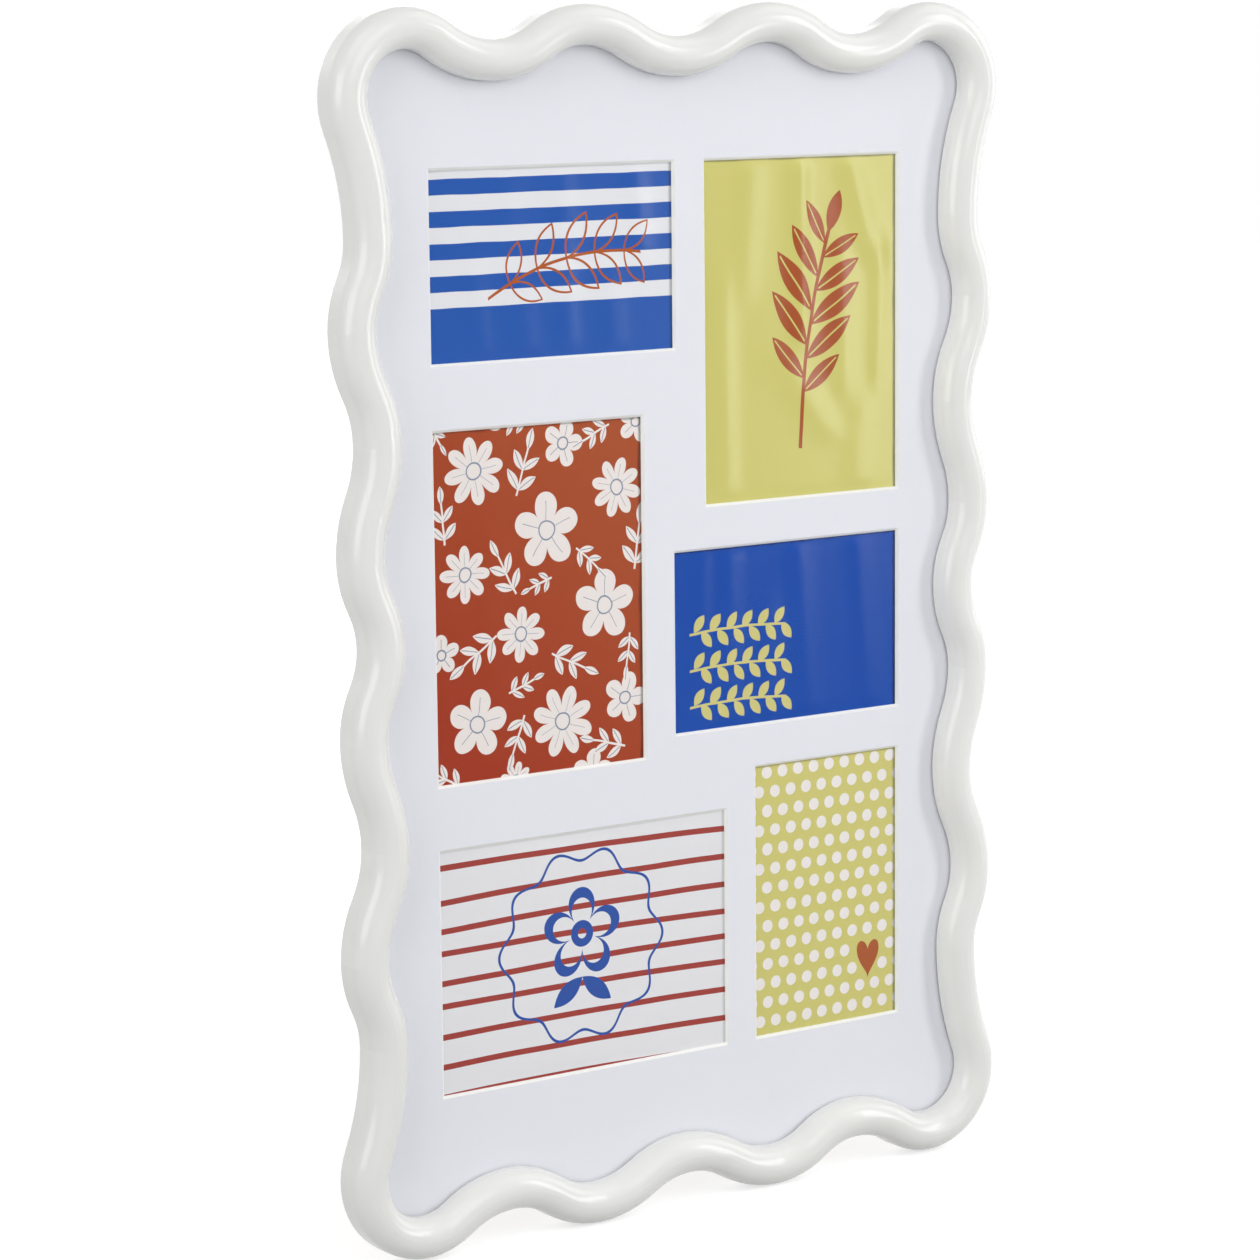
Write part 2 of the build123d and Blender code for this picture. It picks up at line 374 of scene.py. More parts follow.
def makeCard(name, look, material):
    low, high, width, height = windowOf(look)
    cells = [round((high[axis] - low[axis]) / mm / paper["cell"]) for axis in (0, 2)]
    bm = bmesh.new()
    bmesh.ops.create_grid(bm, x_segments=cells[0], y_segments=cells[1], size=0.5)
    bmesh.ops.scale(bm, verts=bm.verts, vec=(high.x - low.x, high.z - low.z, 1))
    bmesh.ops.rotate(bm, verts=bm.verts, cent=(0, 0, 0), matrix=Matrix.Rotation(math.radians(90), 3, "X"))
    bmesh.ops.translate(bm, verts=bm.verts, vec=((low.x + high.x) / 2, low.y, (low.z + high.z) / 2))
    for vert in bm.verts:
        across = (vert.co.x - low.x) / mm - paper["overlap"]
        down = (high.z - vert.co.z) / mm - paper["overlap"]
        vert.co.y -= cardRise(look, across, down, width, height) * mm
    for face in bm.faces:
        face.smooth = True
    mesh = bpy.data.meshes.new(name)
    bm.to_mesh(mesh)
    bm.free()
    mesh.materials.append(material)
    mesh.materials.append(cardBack)
    card = bpy.data.objects.new(name, mesh)
    bpy.context.scene.collection.objects.link(card)
    wall = card.modifiers.new("thickness", "SOLIDIFY")
    wall.thickness = paper["thickness"] * mm
    wall.offset = -1
    wall.material_offset = 1
    wall.material_offset_rim = 1
    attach(card, "frame")
    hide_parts(look["node"])


# Prints are drawn in mm from the middle of the window, x to the right and z up. Each shape below gives a
# value that is under 1 inside it. A small wobble of the place makes the edges look hand-drawn
def startPrint(name, look):
    low, high, width, height = windowOf(look)
    material, tree = newMaterial(name)
    middle = (low + high) / 2
    place = addNode(tree, "Mapping", {"Vector": addNode(tree, "TexCoord").outputs["Object"],
                                      "Location": -middle / mm, "Scale": (1 / mm, 1 / mm, 1 / mm)})
    wobble = addNode(tree, "TexNoise", {"Vector": place, "Scale": 1 / look["wobbleSize"], "Detail": 0.0})
    shift = addNode(tree, "VectorMath", {0: wobble.outputs["Color"], 1: (0.5, 0.5, 0.5)},
                    operation="SUBTRACT")
    drawn = addNode(tree, "VectorMath", {0: shift, 1: (look["wobble"],) * 3, 2: place},
                    operation="MULTIPLY_ADD")
    return material, tree, drawn, width, height


def around(tree, place, at, turn, halfWidth, halfHeight):
    local = addNode(tree, "Mapping", {"Vector": place, "Location": (at[0], 0, at[1]),
                                      "Rotation": (0, math.radians(-turn), 0),
                                      "Scale": (halfWidth, 1, halfHeight)}, vector_type="TEXTURE")
    return addNode(tree, "SeparateXYZ", {0: local})


def leafShape(tree, place, at, turn, length, width):
    # the leaf, and the distance from its midline
    part = around(tree, place, at, turn, length / 2, width / 2)
    aside = addNode(tree, "Math", {0: part.outputs["Z"]}, operation="ABSOLUTE")
    leaf = addNode(tree, "Math", {0: part.outputs["X"], 1: part.outputs["X"], 2: aside},
                   operation="MULTIPLY_ADD")
    return leaf, aside


def leafPlace(start, heading, length):
    angle = math.radians(heading)
    return (start[0] + math.cos(angle) * length / 2, start[1] + math.sin(angle) * length / 2)


def stemShape(tree, place, at, turn, length, sag, thick):
    part = around(tree, place, at, turn, length / 2, thick / 2)
    square = addNode(tree, "Math", {0: part.outputs["X"], 1: part.outputs["X"]}, operation="MULTIPLY")
    off = addNode(tree, "Math", {0: square, 1: 2 * sag / thick, 2: part.outputs["Z"]},
                  operation="MULTIPLY_ADD")
    near = addNode(tree, "Math", {0: off}, operation="ABSOLUTE")
    return addNode(tree, "Math", {0: near, 1: square}, operation="MAXIMUM")


petalFullness = 0.6  # under 1 rounds the end of a petal


def blossomShape(tree, place, at, turn, radius, petals, notch):
    # the blossom, the distance from the nearest crease between petals, and the distance from the middle
    part = around(tree, place, at, turn, radius, radius)
    angle = addNode(tree, "Math", {0: part.outputs["Z"], 1: part.outputs["X"]}, operation="ARCTAN2")
    swing = addNode(tree, "Math", {0: angle, 1: petals / 2}, operation="MULTIPLY")
    wave = addNode(tree, "Math", {0: swing}, operation="COSINE")
    lobe = addNode(tree, "Math", {0: wave}, operation="ABSOLUTE")
    full = addNode(tree, "Math", {0: lobe, 1: petalFullness}, operation="POWER")
    reach = addNode(tree, "Math", {0: full, 1: 1 - notch, 2: notch}, operation="MULTIPLY_ADD")
    flat = addNode(tree, "CombineXYZ", {"X": part.outputs["X"], "Z": part.outputs["Z"]})
    far = addNode(tree, "VectorMath", {0: flat}, operation="LENGTH").outputs["Value"]
    body = addNode(tree, "Math", {0: far, 1: reach}, operation="DIVIDE")
    crosswise = addNode(tree, "Math", {0: swing}, operation="SINE")
    edge = addNode(tree, "Math", {0: crosswise, 1: far}, operation="MULTIPLY")
    return body, addNode(tree, "Math", {0: edge}, operation="ABSOLUTE"), far


def bandShape(tree, down, top, bottom):
    off = addNode(tree, "Math", {0: down, 1: (top + bottom) / 2}, operation="SUBTRACT")
    near = addNode(tree, "Math", {0: off}, operation="ABSOLUTE")
    return addNode(tree, "Math", {0: near, 1: (bottom - top) / 2}, operation="DIVIDE")


def outlined(tree, shape, band):
    off = addNode(tree, "Math", {0: shape, 1: 1.0}, operation="SUBTRACT")
    near = addNode(tree, "Math", {0: off}, operation="ABSOLUTE")
    return addNode(tree, "Math", {0: near, 1: band}, operation="DIVIDE")


def combine(tree, shapes, operation="MINIMUM"):
    # the least value draws all the shapes together, the greatest only what they share
    found = shapes[0]
    for shape in shapes[1:]:
        found = addNode(tree, "Math", {0: found, 1: shape}, operation=operation)
    return found


def inkOver(tree, ground, ink, shape):
    inside = addNode(tree, "Math", {0: shape, 1: 1.0}, operation="LESS_THAN")
    mixed = addNode(tree, "Mix", {"Factor": inside, 6: ground, 7: toLinear(ink)}, data_type="RGBA")
    return mixed.outputs[2]


def closePrint(tree, look, place, width, height, colour):
    # painted shade: the colour is darkened in a thin band along the window's top and right edges, standing in
    # for the shade under the mat's cut edge
    spot = addNode(tree, "SeparateXYZ", {0: place})
    for axis, side, depth in (("X", width / 2, look["edge"][0]), ("Z", height / 2, look["edge"][1])):
        inward = addNode(tree, "Math", {0: side, 1: spot.outputs[axis]}, operation="SUBTRACT")
        near, far = paper["paintedEdgeShadeReach"][axis]
        light = addNode(tree, "MapRange", {"Value": inward, "From Min": near, "From Max": far,
                                           "To Min": depth}, interpolation_type="SMOOTHSTEP")
        colour = addNode(tree, "VectorMath", {0: colour, "Scale": light}, operation="SCALE")
    surface = addNode(tree, "BsdfPrincipled", {
        "Base Color": colour, "Roughness": look["roughness"], "Specular IOR Level": look["shine"]})
    addNode(tree, "OutputMaterial", {"Surface": surface})


# A twig is a sagging stem with pairs of leaves. Places along it run from -1 to 1, and its leaves shrink away
# from the widest place
def alongStem(twig, share):
    turn = math.radians(twig["turn"])
    along, rise = share * twig["length"] / 2, -twig["sag"] * share * share
    at = (twig["at"][0] + along * math.cos(turn) - rise * math.sin(turn),
          twig["at"][1] + along * math.sin(turn) + rise * math.cos(turn))
    heading = twig["turn"] + math.degrees(math.atan2(-4 * twig["sag"] * share, twig["length"]))
    return at, heading


def twigStem(tree, place, twig):
    return stemShape(tree, place, twig["at"], twig["turn"], twig["length"], twig["sag"], twig["thick"])


def twigLeaves(tree, place, twig):
    leaves = []
    for number in range(twig["pairs"]):
        share = twig["firstLeaf"] + (twig["lastLeaf"] - twig["firstLeaf"]) * number / (twig["pairs"] - 1)
        size = 1 - twig["shrink"] * abs(share - twig["widest"])
        length = twig["leafLength"] * size
        for side in (1, -1):
            start, heading = alongStem(twig, share + side * twig["stagger"])
            lean = heading + side * twig["lean"]
            leaves.append(leafShape(tree, place, leafPlace(start, lean, length), lean, length,
                                    twig["leafWidth"] * size))
    return leaves


# Stripes: white with blue bands, and a thin-stroke twig across them
stripes = {
    "node": "print_stripes",
    "slot": "print_white",
    "white": "f0f1f5",
    "blue": "255bb5",
    "orange": "b85c28",
    "roughness": 0.22,
    "shine": 0.15,
    # each card's edge values set how light the painted shade leaves its right and top edge
    "edge": (0.5, 0.72),  # how light the shaded right and top edge stay
    "wobble": 0.5,
    "wobbleSize": 14,
    "bands": ((4.2, 11.75), (19.55, 27.1), (34.9, 42.5), (50.3, 57.9), (65.7, 99.0)),  # down from the top
    "twig": {"at": (5, 1), "turn": 12, "length": 92, "sag": 8, "thick": 1.5, "pairs": 5, "firstLeaf": -0.7,
             "lastLeaf": 0.8, "widest": 0.0, "shrink": 0.25, "stagger": 0.0, "leafLength": 25,
             "leafWidth": 10, "lean": 50},
    "outline": 0.13,
    "ripples": [
        {"top": (44, -12), "end": (46, 30), "width": 8, "height": 0.4},
        {"top": (76, -12), "end": (79, 102), "width": 7, "height": 0.5},
        {"top": (118, -12), "end": (124, 48), "width": 7, "height": 0.65},
        {"top": (24, 45), "end": (30, 104), "width": 7, "height": 0.5},
        {"top": (50, 55), "end": (56, 104), "width": 9, "height": 0.5},
        {"top": (104, 50), "end": (108, 104), "width": 8, "height": 0.4},
    ],
}


def printStripes(look):
    material, tree, place, width, height = startPrint("stripesOnGlossPaper", look)
    spot = addNode(tree, "SeparateXYZ", {0: place})
    down = addNode(tree, "Math", {0: height / 2, 1: spot.outputs["Z"]}, operation="SUBTRACT")
    bands = combine(tree, [bandShape(tree, down, top, bottom) for top, bottom in look["bands"]])
    strokes = [twigStem(tree, place, look["twig"])]
    strokes += [outlined(tree, leaf, look["outline"]) for leaf, _ in twigLeaves(tree, place, look["twig"])]
    colour = inkOver(tree, toLinear(look["white"]), look["blue"], bands)
    colour = inkOver(tree, colour, look["orange"], combine(tree, strokes))
    closePrint(tree, look, place, width, height, colour)
    return material


makeCard("cardStripes", stripes, printStripes(stripes))

# Sprig: one large terracotta sprig on yellow-green
sprig = {
    "node": "print_sprig",
    "slot": "print_green",
    "green": "d7d175",
    "terracotta": "ac4f1a",
    "roughness": 0.2,
    "shine": 0.27,
    "edge": (0.25, 0.42),
    "wobble": 1.2,
    "wobbleSize": 20,
    "twig": {"at": (4, -4), "turn": 80, "length": 116, "sag": 5, "thick": 2.2, "pairs": 5, "firstLeaf": -0.45,
             "lastLeaf": 0.75, "widest": 0.05, "shrink": 0.5, "stagger": 0.06, "leafLength": 40,
             "leafWidth": 12.5, "lean": 47},
    "tip": {"along": 0.92, "length": 22, "width": 9},
    "ribShare": 0.08,  # of the leaf's half width
    "ribInset": 1.35,  # how much the rib stops short of the leaf's outline
    "ripples": [
        {"top": (60, -15), "end": (61, 96), "width": 6, "height": 0.95},
        {"top": (11, 52), "end": (13, 180), "width": 7, "height": 0.6},
        {"top": (30, -10), "end": (24, 70), "width": 9, "height": 0.5},
        {"top": (87, 45), "end": (89, 122), "width": 7, "height": 0.65},
        {"top": (88, -12), "end": (108, 55), "width": 8, "height": 0.9},
        {"top": (112, 40), "end": (110, 120), "width": 5, "height": 0.5},
        {"top": (48, 100), "end": (78, 142), "width": 11, "height": 0.8},
        {"top": (100, 120), "end": (96, 180), "width": 9, "height": 0.5},
    ],
}


def printSprig(look):
    material, tree, place, width, height = startPrint("sprigOnGlossPaper", look)
    shapes, ribs = [twigStem(tree, place, look["twig"])], []
    for leaf, aside in twigLeaves(tree, place, look["twig"]):
        shapes.append(leaf)
        line = addNode(tree, "Math", {0: aside, 1: look["ribShare"]}, operation="DIVIDE")
        inLeaf = addNode(tree, "Math", {0: leaf, 1: look["ribInset"]}, operation="MULTIPLY")
        ribs.append(combine(tree, [line, inLeaf], "MAXIMUM"))
    tip = look["tip"]
    start, heading = alongStem(look["twig"], tip["along"])
    shapes.append(leafShape(tree, place, leafPlace(start, heading, tip["length"]), heading, tip["length"],
                            tip["width"])[0])
    colour = inkOver(tree, toLinear(look["green"]), look["terracotta"], combine(tree, shapes))
    colour = inkOver(tree, colour, look["green"], combine(tree, ribs))
    closePrint(tree, look, place, width, height, colour)
    return material


makeCard("cardSprig", sprig, printSprig(sprig))

# Florals: white blossoms and leaf sprays with pencil-blue lines, scattered on brick red
florals = {
    "node": "print_florals",
    "slot": "print_red",
    "white": "f8f0ec",
    "pencil": "8f98ad",
    "brick": "a83a20",
    # painted sheen: the ground blends to a lighter brick toward the upper right, where the light falls
    "brickPaintedSheen": "b0522a",  # toward the upper right
    "brickReach": 0.7,  # of the change from one to the other, over the card's height
    "roughness": 0.3,
    "shine": 0.12,
    "edge": (0.4, 0.5),
    "wobble": 1.4,
    "wobbleSize": 11,
    # at, turn, radius, petals
    "blossoms": (
        ((-38, 66), 10, 17, 8), ((14, 76), 0, 12, 5), ((46, 52), 30, 15, 8), ((4, 34), 20, 19, 5),
        ((-44, 16), 0, 14, 8), ((38, -6), 15, 18, 5), ((-12, -16), 40, 14, 8), ((50, -54), 0, 13, 5),
        ((12, -62), 25, 18, 8), ((-38, -58), 10, 17, 5), ((-58, -22), 20, 10, 5), ((58, 84), 5, 11, 5),
        ((30, -90), 12, 12, 5), ((-16, -88), 30, 9, 8),
    ),
    # at, turn, size
    "sprays": (
        ((-10, 64), 72, 30), ((34, 80), 205, 22), ((-56, 42), 95, 26), ((28, 18), 318, 22),
        ((-20, 14), 118, 28), ((58, 22), 82, 30), ((16, -32), 335, 28), ((-36, -22), 215, 30),
        ((40, -76), 165, 26), ((-14, -66), 250, 26), ((-14, 88), 190, 20), ((52, -30), 262, 22),
        ((-56, -84), 150, 24), ((-12, -42), 20, 20), ((-60, 86), 300, 18), ((0, 8), 200, 18),
    ),
    "notch": 0.42,  # where the petals part, over the blossom's radius
    "eye": 0.24,  # the same for the eye
    "line": 0.4,  # half the width of a pencil line, in mm
    "petalInset": 1.3,  # how much a pencil line stops short of the petal's or the leaf's outline
    "leafInset": 1.4,
    # of a spray: where each pair of leaves starts, how far it leans and its length, all over the spray's size
    "leaves": ((-0.3, 46, 0.4), (0.02, 42, 0.38), (0.36, 0, 0.36)),
    "leafWidth": 0.4,  # over the leaf's length
    "stemLength": 0.8,
    "stemThick": 1.1,
    "ripples": [{"top": (30, 0), "end": (34, 172), "width": 9, "height": 0.3}],
}


def addBlossom(tree, place, look, at, turn, radius, petals):
    body, crease, far = blossomShape(tree, place, at, turn, radius, petals, look["notch"])
    thin = addNode(tree, "Math", {0: crease, 1: look["line"] / radius}, operation="DIVIDE")
    inPetal = addNode(tree, "Math", {0: body, 1: look["petalInset"]}, operation="MULTIPLY")
    pastEye = addNode(tree, "Math", {0: look["eye"], 1: far}, operation="DIVIDE")
    off = addNode(tree, "Math", {0: far, 1: look["eye"]}, operation="SUBTRACT")
    near = addNode(tree, "Math", {0: off}, operation="ABSOLUTE")
    ring = addNode(tree, "Math", {0: near, 1: look["line"] / radius}, operation="DIVIDE")
    return body, combine(tree, [combine(tree, [thin, inPetal, pastEye], "MAXIMUM"), ring])


def addSpray(tree, place, look, at, turn, size):
    # the place is folded along the stem, so that one leaf draws a pair
    part = around(tree, place, at, turn, 1, 1)
    folded = addNode(tree, "CombineXYZ", {
        "X": part.outputs["X"], "Z": addNode(tree, "Math", {0: part.outputs["Z"]}, operation="ABSOLUTE")})
    leaves, ribs = [], []
    for start, lean, long in look["leaves"]:
        length = long * size
        leafWide = length * look["leafWidth"]
        middle = leafPlace((start * size, 0), lean, length)
        leaf, aside = leafShape(tree, folded, middle, lean, length, leafWide)
        line = addNode(tree, "Math", {0: aside, 1: look["line"] / leafWide}, operation="DIVIDE")
        inLeaf = addNode(tree, "Math", {0: leaf, 1: look["leafInset"]}, operation="MULTIPLY")
        leaves.append(leaf)
        ribs.append(combine(tree, [line, inLeaf], "MAXIMUM"))
    leaves.append(stemShape(tree, place, at, turn, size * look["stemLength"], 0, look["stemThick"]))
    return combine(tree, leaves), combine(tree, ribs)


def printFlorals(look):
    material, tree, place, width, height = startPrint("floralsOnGlossPaper", look)
    white, pencil = addBlossom(tree, place, look, *look["blossoms"][0])
    others = [(addBlossom, motif) for motif in look["blossoms"][1:]]
    others += [(addSpray, motif) for motif in look["sprays"]]
    for addMotif, motif in others:
        # each motif joins the rest at once, so that few values are held at a time
        body, line = addMotif(tree, place, look, *motif)
        white, pencil = combine(tree, [white, body]), combine(tree, [pencil, line])
    spot = addNode(tree, "SeparateXYZ", {0: place})
    # painted sheen: the ground grows lighter toward the upper right
    slope = addNode(tree, "Math", {0: spot.outputs["X"], 1: spot.outputs["Z"]}, operation="ADD")
    reach = look["brickReach"] * height
    upper = addNode(tree, "MapRange", {"Value": slope, "From Min": -reach, "From Max": reach})
    ground = addNode(tree, "Mix", {"Factor": upper, 6: toLinear(look["brick"]), 7: toLinear(look["brickPaintedSheen"])},
                     data_type="RGBA")
    colour = inkOver(tree, ground.outputs[2], look["white"], white)
    colour = inkOver(tree, colour, look["pencil"], pencil)
    closePrint(tree, look, place, width, height, colour)
    return material


makeCard("cardFlorals", florals, printFlorals(florals))

# Garlands: three pale yellow leaf garlands on blue
garlands = {
    "node": "print_waves",
    "slot": "print_blue",
    "blue": "184fb1",
    "yellow": "dcd489",
    "roughness": 0.2,
    "shine": 0.1,
    "edge": (0.25, 0.3),
    "wobble": 0.6,
    "wobbleSize": 9,
    "left": 9.0,  # from the window's left edge
    "above": 3.5,  # from its lower edge to the lowest row
    "long": 61,
    "pitch": 18.8,
    "rows": 3,
    "stem": {"up": 0.6, "sag": 1.6, "thick": 1.3},
    "leaves": 6,
    "leaf": {"lean": 52, "length": 10.5, "width": 5.4},
    "upperStart": 0.25,  # of the upper leaves, over their spacing
    "lowerShift": 0.45,
    "ripples": [
        {"top": (18, -12), "end": (16, 60), "width": 6, "height": 0.5},
        {"top": (34, -12), "end": (34, 104), "width": 7, "height": 0.7},
        {"top": (60, 30), "end": (58, 104), "width": 8, "height": 0.5},
        {"top": (77, -12), "end": (86, 104), "width": 7, "height": 0.75},
        {"top": (116, -12), "end": (126, 104), "width": 7, "height": 0.7},
    ],
}


def printGarlands(look):
    material, tree, place, width, height = startPrint("garlandsOnGlossPaper", look)
    lowest = look["above"] - height / 2
    top = lowest + look["rows"] * look["pitch"]
    # one row is drawn about z = 0 and repeated by wrapping z
    bound = look["pitch"] / 2
    row = addNode(tree, "VectorMath", {0: place, 1: (0, 0, -(lowest + bound))}, operation="ADD")
    wrapped = addNode(tree, "VectorMath", {0: row, 1: (width, width, bound), 2: (-width, -width, -bound)},
                      operation="WRAP")
    left = look["left"] - width / 2
    stem, leaf = look["stem"], look["leaf"]
    shapes = [stemShape(tree, wrapped, (left + look["long"] / 2, stem["up"]), 0, look["long"], stem["sag"],
                        stem["thick"])]
    step = look["long"] / look["leaves"]
    for number in range(look["leaves"]):
        upper = left + (number + look["upperStart"]) * step
        for side, start in ((1, upper), (-1, upper + look["lowerShift"] * step)):
            heading = side * leaf["lean"]
            shapes.append(leafShape(tree, wrapped, leafPlace((start, 0), heading, leaf["length"]), heading,
                                    leaf["length"], leaf["width"])[0])
    spot = addNode(tree, "SeparateXYZ", {0: place})
    rows = bandShape(tree, spot.outputs["Z"], lowest, top)
    drawn = combine(tree, [combine(tree, shapes), rows], "MAXIMUM")
    colour = inkOver(tree, toLinear(look["blue"]), look["yellow"], drawn)
    closePrint(tree, look, place, width, height, colour)
    return material


makeCard("cardGarlands", garlands, printGarlands(garlands))

# Lines: rust-red ruled lines with a scalloped blue ring and a bold blue blossom
lines = {
    "node": "print_lines",
    "slot": "print_white",
    "white": "f1f1f4",
    "rust": "a8463f",
    "blue": "3458ab",
    "roughness": 0.4,
    "shine": 0.15,
    "edge": (0.72, 0.86),
    "wobble": 0.8,
    "wobbleSize": 40,
    # distance down from the window's top at the left and the right end
    "rules": ((7.9, 9.8), (25.3, 24.1), (39.7, 38.6), (50.9, 52.9), (66, 65.9), (77.4, 79.2), (92.6, 94),
              (107.6, 109), (122.8, 124.4)),
    "ruleThick": 3.0,
    "ruleBow": 1.2,  # how much higher a rule runs at its middle than at its ends
    "ring": {"at": (-3, 3), "radius": 46.5, "scallops": 10, "depth": 3.1, "thick": 1.5},
    "blossom": {"at": (-3, 9), "radius": 21, "petals": 5, "turn": 18, "notch": 0.4, "stroke": 0.13,
                "eyeTimes": 4.5, "eyeStroke": 0.45},  # the eye is this many times smaller
    "leaf": {"at": (-3, -13), "turn": -90, "lean": 52, "length": 22, "width": 9},
    "ripples": [{"top": (60, 0), "end": (70, 122), "width": 20, "height": 0.3}],
}


def drawRules(tree, look, spot, width, height):
    down = addNode(tree, "Math", {0: height / 2, 1: spot.outputs["Z"]}, operation="SUBTRACT")
    share = addNode(tree, "Math", {0: spot.outputs["X"], 1: width / 2}, operation="DIVIDE")
    square = addNode(tree, "Math", {0: share, 1: share}, operation="MULTIPLY")
    rules = []
    for left, right in look["rules"]:
        tilt = addNode(tree, "Math", {0: share, 1: (left - right) / 2, 2: down}, operation="MULTIPLY_ADD")
        bent = addNode(tree, "Math", {0: square, 1: -look["ruleBow"], 2: tilt}, operation="MULTIPLY_ADD")
        centre = (left + right) / 2 - look["ruleBow"]
        rules.append(bandShape(tree, bent, centre - look["ruleThick"] / 2, centre + look["ruleThick"] / 2))
    return combine(tree, rules)


def drawRing(tree, place, ring):
    part = around(tree, place, ring["at"], 0, 1, 1)
    angle = addNode(tree, "Math", {0: part.outputs["Z"], 1: part.outputs["X"]}, operation="ARCTAN2")
    swing = addNode(tree, "Math", {0: angle, 1: ring["scallops"]}, operation="MULTIPLY")
    wave = addNode(tree, "Math", {0: swing}, operation="COSINE")
    reach = addNode(tree, "Math", {0: wave, 1: ring["depth"], 2: ring["radius"]}, operation="MULTIPLY_ADD")
    flat = addNode(tree, "CombineXYZ", {"X": part.outputs["X"], "Z": part.outputs["Z"]})
    far = addNode(tree, "VectorMath", {0: flat}, operation="LENGTH").outputs["Value"]
    off = addNode(tree, "Math", {0: far, 1: reach}, operation="SUBTRACT")
    near = addNode(tree, "Math", {0: off}, operation="ABSOLUTE")
    return addNode(tree, "Math", {0: near, 1: ring["thick"] / 2}, operation="DIVIDE")


def drawBlossom(tree, place, bloom, leaf):
    petals, _, far = blossomShape(tree, place, bloom["at"], bloom["turn"], bloom["radius"],
                                  bloom["petals"], bloom["notch"])
    eye = addNode(tree, "Math", {0: far, 1: bloom["eyeTimes"]}, operation="MULTIPLY")
    shapes = [outlined(tree, petals, bloom["stroke"]), outlined(tree, eye, bloom["eyeStroke"])]
    for side in (1, -1):
        heading = leaf["turn"] + side * leaf["lean"]
        shapes.append(leafShape(tree, place, leafPlace(leaf["at"], heading, leaf["length"]), heading,
                                leaf["length"], leaf["width"])[0])
    return combine(tree, shapes)


def printLines(look):
    material, tree, place, width, height = startPrint("linesOnPhotoPaper", look)
    spot = addNode(tree, "SeparateXYZ", {0: place})
    colour = inkOver(tree, toLinear(look["white"]), look["rust"], drawRules(tree, look, spot, width, height))
    drawn = [drawRing(tree, place, look["ring"]), drawBlossom(tree, place, look["blossom"], look["leaf"])]
    colour = inkOver(tree, colour, look["blue"], combine(tree, drawn))
    closePrint(tree, look, place, width, height, colour)
    return material


makeCard("cardLines", lines, printLines(lines))

# Dots: staggered white dots on yellow-green, left out round a small terracotta heart
dots = {
    "node": "print_dots",
    "slot": "print_green",
    "green": "d8d17c",
    "white": "f8f3ef",
    "terracotta": "b0592a",
    "roughness": 0.35,
    "shine": 0.25,
    "edge": (0.4, 0.55),
    "wobble": 0.7,
    "wobbleSize": 16,
    "pitch": 10.1,
    "radius": 3.2,
    "firstDown": 3.7,  # from the window's top and left edge to the first dot
    "firstAcross": 7.4,
    "heart": {"at": (27.5, -43.5), "halfWidth": 7.3, "unit": 7.77, "dip": 1.15, "middle": (27.5, -38.5),
              "clear": 9.0},  # no dot's middle is nearer to the heart's than this
    "ripples": [{"top": (20, 0), "end": (24, 142), "width": 14, "height": 0.3}],
}


def dotShape(tree, place, look, corner):
    # dots of every second row: x repeats by the pitch and z by two pitches
    pitch, heart = look["pitch"], look["heart"]
    moved = addNode(tree, "VectorMath", {0: place, 1: (-corner[0], 0, -corner[1])}, operation="ADD")
    flat = addNode(tree, "VectorMath", {0: moved, 1: (1, 0, 1)}, operation="MULTIPLY")
    local = addNode(tree, "VectorMath", {0: flat, 1: (pitch / 2, 1, pitch), 2: (-pitch / 2, -1, -pitch)},
                    operation="WRAP")
    off = addNode(tree, "VectorMath", {0: local}, operation="LENGTH").outputs["Value"]
    dot = addNode(tree, "Math", {0: off, 1: look["radius"]}, operation="DIVIDE")
    middle = addNode(tree, "VectorMath", {0: flat, 1: local}, operation="SUBTRACT")
    fromCorner = (heart["middle"][0] - corner[0], 0, heart["middle"][1] - corner[1])
    toHeart = addNode(tree, "VectorMath", {0: middle, 1: fromCorner}, operation="DISTANCE").outputs["Value"]
    room = addNode(tree, "Math", {0: heart["clear"], 1: toHeart}, operation="DIVIDE")
    return combine(tree, [dot, room], "MAXIMUM")


def heartShape(tree, place, heart):
    # a circle whose height is lifted by the root of the distance aside, which dips at the middle
    part = around(tree, place, heart["at"], 0, heart["halfWidth"], heart["unit"])
    aside = addNode(tree, "Math", {0: part.outputs["X"]}, operation="ABSOLUTE")
    root = addNode(tree, "Math", {0: aside}, operation="SQRT")
    lift = addNode(tree, "Math", {0: root, 1: -heart["dip"], 2: part.outputs["Z"]}, operation="MULTIPLY_ADD")
    tall = addNode(tree, "Math", {0: lift, 1: lift}, operation="MULTIPLY")
    return addNode(tree, "Math", {0: aside, 1: aside, 2: tall}, operation="MULTIPLY_ADD")


def printDots(look):
    material, tree, place, width, height = startPrint("dotsOnPhotoPaper", look)
    pitch = look["pitch"]
    corner = (look["firstAcross"] - width / 2, height / 2 - look["firstDown"])
    shapes = [dotShape(tree, place, look, corner),
              dotShape(tree, place, look, (corner[0] + pitch / 2, corner[1] - pitch))]
    colour = inkOver(tree, toLinear(look["green"]), look["white"], combine(tree, shapes))
    colour = inkOver(tree, colour, look["terracotta"], heartShape(tree, place, look["heart"]))
    closePrint(tree, look, place, width, height, colour)
    return material


makeCard("cardDots", dots, printDots(dots))
print("print cards made")

# Back board: hardboard, pressed from wood fibre, so brown and matt with short pale fibres and dark flecks
hardboard = {
    "light": "96764f",
    "dark": "7c5c3b",
    "cloudSize": 30,
    "fibre": "b2946a",
    "fibreLength": 5.0,
    "fibreWidth": 0.45,
    "fibreTurns": (25, 100, 160),
    "fibreBend": 0.6,
    "fibreShows": (0.6, 0.72),  # the noise from which a fibre begins to show and shows fully
    "fleck": "553c26",
    "fleckSize": 0.9,
    "fleckShows": (0.6, 0.75),
    "relief": 0.06,
    "reliefStrength": 0.6,
    "roughness": 0.62,
    "ior": 1.45,
}


